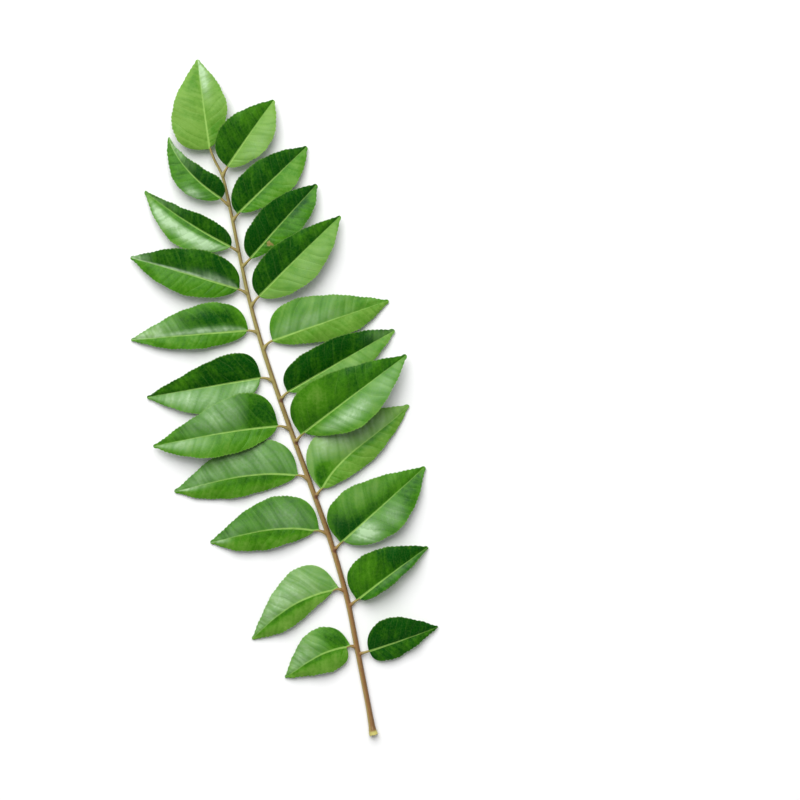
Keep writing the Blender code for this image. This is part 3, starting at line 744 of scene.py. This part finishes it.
def make_upper_material(settings):
    """The glossy upper side, from fresh to dark green partly by painted shade, with painted sheen
    in places.
    """
    upper = Shader("leaf_upper")
    places, vein, rib, net = leaf_pattern(upper, (0.015, 0.06), (0.55, 1.15))
    rib_green = tuple(settings.rib_green)
    patches = upper.noise(170, 3, places)
    mottle = upper.noise(900, 4, places)
    streaks = upper.attribute("streaks")

    # Deep green: partly the leaflet's own tone, partly painted shade on halves turned from the
    # light
    deep = upper.attribute("deep_green")
    # The streaks lighten and darken the green along the side veins as painted sheen and painted
    # shade
    for pattern, factor, offset in ((patches, 0.5, -0.25), (mottle, 0.5, -0.25),
                                    (streaks, -0.22, 0.11)):
        deep = upper.maths("ADD", deep, upper.scaled(pattern, factor, offset))
    deep = upper.maths("MAXIMUM", upper.maths("MINIMUM", deep, 1.0), 0.0)
    colour = upper.mix(upper.times(deep, 2.0), tuple(settings.fresh_green),
                       tuple(settings.leaf_green))
    colour = upper.mix(upper.scaled(deep, 2.0, -1.0), colour, tuple(settings.dark_green))

    # Painted sheen: pale whitish green where the glossy blade would reflect the light
    uneven = upper.times(upper.scaled(streaks, 0.8, 0.6), upper.scaled(mottle, 1.6, 0.2))
    painted_sheen = upper.times(upper.maths("MAXIMUM", upper.attribute("painted_sheen"), 0.0), uneven)
    painted_sheen = upper.times(upper.maths("MINIMUM", painted_sheen, 1.0), 0.8)
    colour = upper.mix(painted_sheen, colour, tuple(settings.painted_sheen_green))

    faint = upper.between(patches, 0.35, 0.65, 0.0, 0.08)
    edge = upper.between(upper.attribute("edge_share"), 0.955, 0.995)
    fade = upper.between(upper.attribute("from_base"), 0.1, 1.0, 0.72, 0.25)
    for pattern, strength in ((net, 0.05), (vein, faint), (edge, 0.22), (rib, fade)):
        colour = upper.mix(upper.times(pattern, strength), colour, rib_green)

    spot = upper.maths("ADD", upper.attribute("blemish"), upper.scaled(mottle, 2.4, -1.2))
    spot = upper.times(upper.between(spot, 0.35, 0.75),
                       upper.between(upper.attribute("blemish"), 0.15, 0.4, 0.0, 0.8))
    colour = upper.mix(spot, colour, tuple(settings.blemish_brown))

    normal = upper.bump(mottle, 0.00003, 0.6)
    normal = upper.bump(net, -0.00002, 0.5, normal)
    normal = upper.bump(vein, -0.00005, 0.7, normal)
    roughness = upper.scaled(patches, 0.20, 0.26)
    return upper.finish(colour, roughness, normal, Specular_IOR_Level=0.12)


def make_underside_material(settings):
    """The paler, duller underside, with its veins standing out."""
    under = Shader("leaf_underside")
    places, vein, rib, net = leaf_pattern(under, (0.02, 0.08), (0.8, 1.5))
    mottle = under.noise(800, 4, places)
    dark = tuple(0.62 * channel for channel in settings.under_green)
    colour = under.mix(under.between(mottle, 0.2, 0.8), dark, tuple(settings.under_green))
    for pattern, strength in ((net, 0.15), (vein, 0.40), (rib, 0.85)):
        colour = under.mix(under.times(pattern, strength), colour, tuple(settings.rib_green))
    normal = under.bump(net, 0.00003, 0.6)
    normal = under.bump(vein, 0.00008, 0.8, normal)
    return under.finish(colour, 0.62, normal, Specular_IOR_Level=0.35)


def crowded(share, amount):
    """Shares from 0 to 1 moved closer together near 0 and 1."""
    return share - amount * np.sin(2 * math.pi * share) / (2 * math.pi)


def build_leaflet(leaflet, number, settings, materials):
    """One leaflet: a grid laid out as a blade, given its thickness and its rib underneath."""
    rows = max(LEAST_ROWS, math.ceil(leaflet.length / settings.row_spacing))
    columns = 2 * settings.columns
    deselect_all()
    bpy.ops.mesh.primitive_grid_add(x_subdivisions=columns, y_subdivisions=rows, size=2,
                                    calc_uvs=True, location=(0, 0, 0))
    leaf = added("leaf_" + leaflet.name)
    grid = read_points(leaf.data)
    side = np.sign(np.round(grid[:, 0], 6))
    t = side * crowded(np.abs(grid[:, 0]), CROWD_ACROSS)
    s = np.clip(crowded((grid[:, 1] + 1) / 2, CROWD_ALONG), 0, 1)
    blade = Blade(leaflet, number, settings, s, t)
    write_points(leaf.data, blade.points())
    painted_sheen, depth = blade.painted_sheen_and_depth()
    # The pale patches, the deep green and the streaks written here carry painted sheen and
    # painted shade
    for name, values in (("vein_place", blade.vein_place()),
                         ("rib_share", blade.from_rib / blade.rib),
                         ("edge_share", blade.out), ("painted_sheen", painted_sheen), ("deep_green", depth),
                         ("streaks", blade.streaks()), ("blemish", blade.blemish()),
                         ("from_base", s), ("from_rib", blade.from_rib)):
        write_attribute(leaf.data, name, values)
    bpy.ops.object.mode_set(mode="EDIT")
    bpy.ops.mesh.select_all(action="SELECT")
    bpy.ops.mesh.remove_doubles(threshold=1e-6)
    if leaflet.heading > 0:
        bpy.ops.mesh.flip_normals()
    bpy.ops.object.mode_set(mode="OBJECT")
    for material in materials:
        leaf.data.materials.append(material)
    upper_count = len(leaf.data.vertices)
    apply_modifier(leaf, "SOLIDIFY", thickness=settings.thickness, offset=-1, material_offset=1)
    add_rib_below(leaf.data, upper_count, settings)
    bpy.ops.object.shade_smooth_by_angle(angle=SMOOTH_ANGLE)
    return leaf


def add_rib_below(mesh, upper_count, settings):
    """Push the underside out along the midrib, and keep all of it on or over the surface."""
    points = read_points(mesh)
    normals = read_normals(mesh)
    s = read_attribute(mesh, "from_base")
    from_rib = read_attribute(mesh, "from_rib")
    rib = rib_width_at(settings, s)
    push = settings.rib_height * (1 - 0.8 * s) * np.exp(-(from_rib / (0.9 * rib)) ** 2)
    push[:upper_count] = 0
    points += normals * push[:, None]
    points[:, 2] = np.maximum(points[:, 2], 0)
    write_points(mesh, points)


def smooth_route(points, steps):
    """Points on a smooth curve through the given ones, with steps spans between neighbours."""
    points = np.array(points, dtype=float)
    padded = np.vstack((2 * points[0] - points[1], points, 2 * points[-1] - points[-2]))
    route = []
    for before, start, end, after in zip(padded, padded[1:], padded[2:], padded[3:]):
        for t in np.arange(steps) / steps:
            route.append(0.5 * (2 * start + (end - before) * t
                                + (2 * before - 5 * start + 4 * end - after) * t ** 2
                                + (3 * start - before - 3 * end + after) * t ** 3))
    route.append(points[-1])
    return np.array(route)


def stalk_route():
    route = smooth_route(STALK_ROUTE, STALK_STEPS)
    route[:, 0] += CUT_END[0]
    route[:, 1] += CUT_END[1]
    return route


def joint_place(leaflet, route):
    """The middle of the stalk where a leaf stalk leaves it."""
    along = leaflet.joint + CUT_END[1]
    return np.array([np.interp(along, route[:, 1], route[:, axis]) for axis in range(3)])


def into_blade(leaflet):
    """Points under the rib that carry a leaf stalk on into its blade, thinning out."""
    ahead, distal_side = pointing(leaflet)
    start = np.array(from_cut_end(*leaflet.base))
    points = []
    for share, radius in ((0.25, 0.95), (0.6, 0.75), (1.0, 0.5)):
        s = share * INTO_BLADE / leaflet.length
        level = start + ahead * share * INTO_BLADE + distal_side * bow_at(leaflet.bow, s)
        points.append((*level, arch_at(leaflet, s) - UNDER_RIB, radius * LEAF_STALK_END_RADIUS))
    return points


def leaf_stalk_route(leaflet, route):
    """The short curve from the middle of the stalk to a blade's base and on into its rib."""
    root = joint_place(leaflet, route)
    ahead = np.append(pointing(leaflet)[0], 0.0)
    end = np.array((*from_cut_end(*leaflet.base), leaflet.heights[0] - CAD_THICKNESS / 2))
    bend = end - ahead * np.linalg.norm(end - root) / 2
    radii = (LEAF_STALK_ROOT_RADIUS * LEAF_STALK_SWELLING, LEAF_STALK_ROOT_RADIUS,
             LEAF_STALK_WAIST_RADIUS, LEAF_STALK_END_RADIUS)
    points = []
    for t in np.linspace(0, 1, LEAF_STALK_STEPS):
        place = root * (1 - t) ** 2 + 2 * bend * t * (1 - t) + end * t ** 2
        points.append((*place, np.interp(t, (0, 0.25, 0.6, 1), radii)))
    return points + into_blade(leaflet)


def make_stalk_material(settings):
    """Smooth brown bark with fine lengthwise streaks, dark at the joints and pale at the cut,
    with painted shade on its +X flank and painted light on its -X flank.
    """
    bark = Shader("stalk_bark")
    streaks = bark.noise(1.0, 4, bark.places((5200, 320, 5200)))
    specks = bark.noise(1.0, 2, bark.places((2600, 1300, 2600)))
    patches = bark.noise(90, 3, bark.places())
    up = bark.between(bark.attribute("toward_tip"), 0.16, 0.42)
    colour = bark.mix(up, tuple(settings.low_brown), tuple(settings.high_olive))
    darker = tuple(0.55 * channel for channel in settings.low_brown)
    lighter = tuple(min(1.0, 1.4 * channel + 0.03) for channel in settings.high_olive)
    share = bark.maths("ADD", bark.between(streaks, 0.52, 0.72),
                       bark.times(bark.between(patches, 0.45, 0.7), 0.4))
    flank_shading = bark.attribute("flank_shading")
    spot = bark.maths("ADD", bark.attribute("joint_mark"), bark.scaled(specks, 0.5, -0.25))
    for cover, tone in (
            (bark.times(share, 0.70), darker),
            (bark.times(bark.between(streaks, 0.45, 0.25), 0.5), lighter),
            (bark.times(bark.between(specks, 0.66, 0.74), 0.5), lighter),
            (bark.times(bark.attribute("leaf_stalk"), 0.9), tuple(settings.leaf_stalk_tan)),
            # Painted shade on the flank facing +X and painted light on the flank facing -X
            (bark.between(flank_shading, -0.10, 0.80, 0.0, 0.70), darker),
            (bark.between(flank_shading, -0.15, -0.75, 0.0, 0.55), lighter),
            (bark.between(spot, 0.30, 0.80, 0.0, 0.85), tuple(settings.joint_brown)),
            (bark.attribute("cut_face"), tuple(settings.cut_green))):
        colour = bark.mix(cover, colour, tone)
    normal = bark.bump(streaks, 0.00008, 0.8)
    normal = bark.bump(specks, 0.00004, 0.6, normal)
    roughness = bark.scaled(streaks, 0.2, 0.42)
    return bark.finish(colour, roughness, normal, Specular_IOR_Level=0.4)


def ragged_cut(points, settings):
    """Pull the cut face in and out in small torn fibres, and flare its rim."""
    _, _, middle, end_radius = STALK_ROUTE[0]
    across = points[:, 0] - CUT_END[0]
    up = points[:, 2] - middle
    near = 1 - ease(points[:, 1] - CUT_END[1], 0.0, TORN_BACK)
    turn = np.arctan2(across, up)
    radius = np.hypot(across, up) / end_radius
    torn = 0.5 * np.sin(5 * turn + 0.7) + 0.35 * np.sin(11 * turn + 2.0) * radius
    torn += 0.3 * np.sin(23 * turn) * radius ** 2 + 0.8 * (radius - 0.75)
    torn += 0.35 * np.sin(FIBRES_ACROSS * points[:, 0]) * np.cos(FIBRES_UP * points[:, 2])
    points[:, 1] += settings.ragged * (0.9 - torn) * near
    return points


class SPRIG_OT_stalk(bpy.types.Operator):
    """Grow the stalk and its leaf stalks as one piece"""

    bl_idname = "sprig.stalk"
    bl_label = "Stalk"

    def execute(self, context):
        settings = context.scene.sprig_stalk
        route = stalk_route()
        routes = [np.vstack((route, into_blade(LEAFLETS[0])))]
        routes += [np.array(leaf_stalk_route(leaflet, route)) for leaflet in LEAFLETS[1:]]
        deselect_all()
        bpy.ops.curve.primitive_bezier_curve_add(location=(0, 0, 0))
        stalk = added("midstalk")
        curve = stalk.data
        curve.splines.clear()
        curve.dimensions = "3D"
        curve.bevel_depth = 1.0
        curve.bevel_resolution = 5
        curve.use_fill_caps = True
        for way in routes:
            spline = curve.splines.new("POLY")
            spline.points.add(len(way) - 1)
            spline.points.foreach_set(
                "co", np.column_stack((way[:, :3], np.ones(len(way)))).ravel())
            spline.points.foreach_set("radius", way[:, 3].copy())
        bpy.ops.object.convert(target="MESH")
        stalk = bpy.context.object
        apply_modifier(stalk, "REMESH", mode="VOXEL", voxel_size=settings.voxel)
        apply_modifier(stalk, "SMOOTH", factor=0.5, iterations=4)
        mesh = stalk.data
        points = ragged_cut(read_points(mesh), settings)
        points[:, 2] = np.maximum(points[:, 2], 0)
        write_points(mesh, points)
        if len(points) < LEAST_STALK_POINTS:
            raise RuntimeError("the stalk came out with too few points")
        self.mark(mesh, points, route)
        # How far each point faces +X, for the painted shade and light on the stalk's flanks
        write_attribute(mesh, "flank_shading", read_normals(mesh)[:, 0])
        mesh.materials.clear()
        mesh.materials.append(make_stalk_material(settings))
        mesh.shade_smooth()
        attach(stalk, "root")
        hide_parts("stalk")
        return {"FINISHED"}

    def mark(self, mesh, points, route):
        """Note along the stalk what its material shows there."""
        off_stalk = np.empty(len(points))
        for start in range(0, len(points), POINTS_AT_A_TIME):
            part = points[start:start + POINTS_AT_A_TIME]
            away = np.linalg.norm(part[:, None, :] - route[None, :, :3], axis=2)
            nearest = away.argmin(axis=1)
            gap = away[np.arange(len(part)), nearest] - route[nearest, 3]
            off_stalk[start:start + POINTS_AT_A_TIME] = gap
        joint_mark = np.zeros(len(points))
        for leaflet in LEAFLETS[1:]:
            joint = joint_place(leaflet, route)
            joint[:2] += SPOT_OUT * pointing(leaflet)[0]
            strength = DARK_SPOT if leaflet.name in DARK_JOINTS else FAINT_SPOT
            away = np.linalg.norm(points - joint, axis=1)
            joint_mark = np.maximum(joint_mark, strength * np.exp(-(away / SPOT_REACH) ** 2))
        along = points[:, 1] - CUT_END[1]
        write_attribute(mesh, "toward_tip", along / (STALK_ROUTE[-1][1] - CUT_END[1]))
        write_attribute(mesh, "leaf_stalk", ease(off_stalk, *OFF_STALK))
        write_attribute(mesh, "joint_mark", joint_mark)
        write_attribute(mesh, "cut_face", 1 - ease(along, *CUT_FACE))


class SPRIG_OT_leaflets(bpy.types.Operator):
    """Make the 22 leaflets"""

    bl_idname = "sprig.leaflets"
    bl_label = "Leaflets"

    def execute(self, context):
        settings = context.scene.sprig_leaf
        materials = (make_upper_material(settings), make_underside_material(settings))
        for number, leaflet in enumerate(LEAFLETS):
            leaf = build_leaflet(leaflet, number, settings, materials)
            if len(leaf.data.polygons) < LEAST_LEAF_FACES:
                raise RuntimeError("a leaflet came out with too few faces: " + leaflet.name)
            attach(leaf, "root")
            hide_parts("leaflet_" + leaflet.name)
        return {"FINISHED"}


class SPRIG_OT_studio(bpy.types.Operator):
    """Lay the floor and set up the light and the camera"""

    bl_idname = "sprig.studio"
    bl_label = "Studio"

    def execute(self, context):
        settings = context.scene.sprig_studio
        deselect_all()
        bpy.ops.mesh.primitive_plane_add(size=settings.floor_size, location=(0, 0, 0))
        floor = added("pale_floor")
        write_points(floor.data, read_points(floor.data) - np.array((0, 0, FLOOR_DROP)))
        paper = Shader("floor_paper")
        grain = paper.noise(60, 2, paper.places())
        normal = paper.bump(grain, 0.0001, 0.05)
        floor.data.materials.append(paper.finish((*settings.floor_colour, 1.0), 0.85, normal))

        rise = settings.key_rise
        way = Vector((math.sin(settings.key_heading) * math.cos(rise),
                      math.cos(settings.key_heading) * math.cos(rise), math.sin(rise)))
        bpy.ops.object.light_add(type="AREA", location=way * settings.key_distance,
                                 rotation=way.to_track_quat("Z", "Y").to_euler())
        key = added("key_light")
        key.data.size = settings.key_size
        key.data.energy = settings.key_power

        air = bpy.data.worlds.new("studio_air")
        air.use_nodes = True
        nodes = air.node_tree.nodes
        links = air.node_tree.links
        background = nodes["Background"]
        background.inputs["Color"].default_value = (0.97, 0.98, 1.0, 1.0)
        split = nodes.new("ShaderNodeSeparateXYZ")
        links.new(nodes.new("ShaderNodeTexCoord").outputs["Generated"], split.inputs[0])
        slope = nodes.new("ShaderNodeMapRange")
        slope.interpolation_type = "SMOOTHSTEP"
        links.new(split.outputs["Y"], slope.inputs["Value"])
        for name, value in (("From Min", -0.7), ("From Max", 0.7),
                            ("To Min", settings.air_low), ("To Max", settings.air_high)):
            slope.inputs[name].default_value = value
        links.new(slope.outputs["Result"], background.inputs["Strength"])
        context.scene.world = air

        bpy.ops.object.camera_add(
            location=(*settings.view_centre, settings.camera_distance),
            rotation=(0, 0, settings.camera_turn))
        camera = added("camera")
        camera.data.lens = settings.camera_lens
        camera.data.sensor_width = 36
        camera.data.clip_start = 0.01
        context.scene.camera = camera
        context.scene.view_settings.view_transform = "Standard"
        return {"FINISHED"}


class SPRIG_PT_panel(bpy.types.Panel):
    """The steps that build the sprig"""

    bl_idname = "SPRIG_PT_panel"
    bl_label = "Curry Leaf Sprig"
    bl_space_type = "VIEW_3D"
    bl_region_type = "UI"
    bl_category = "Sprig"

    def draw(self, context):
        scene = context.scene
        for operator, settings in (("sprig.stalk", scene.sprig_stalk),
                                   ("sprig.leaflets", scene.sprig_leaf),
                                   ("sprig.studio", scene.sprig_studio)):
            self.layout.operator(operator)
            box = self.layout.box()
            for name in settings.__annotations__:
                box.prop(settings, name)


CLASSES = (LeafSettings, StalkSettings, StudioSettings, SPRIG_OT_stalk, SPRIG_OT_leaflets,
           SPRIG_OT_studio, SPRIG_PT_panel)


def register():
    for kind in CLASSES:
        bpy.utils.register_class(kind)
    bpy.types.Scene.sprig_leaf = PointerProperty(type=LeafSettings)
    bpy.types.Scene.sprig_stalk = PointerProperty(type=StalkSettings)
    bpy.types.Scene.sprig_studio = PointerProperty(type=StudioSettings)


def unregister():
    del bpy.types.Scene.sprig_studio
    del bpy.types.Scene.sprig_stalk
    del bpy.types.Scene.sprig_leaf
    for kind in reversed(CLASSES):
        bpy.utils.unregister_class(kind)


def main():
    register()
    bpy.ops.sprig.stalk()
    bpy.ops.sprig.leaflets()
    bpy.ops.sprig.studio()


if __name__ == "__main__":
    main()
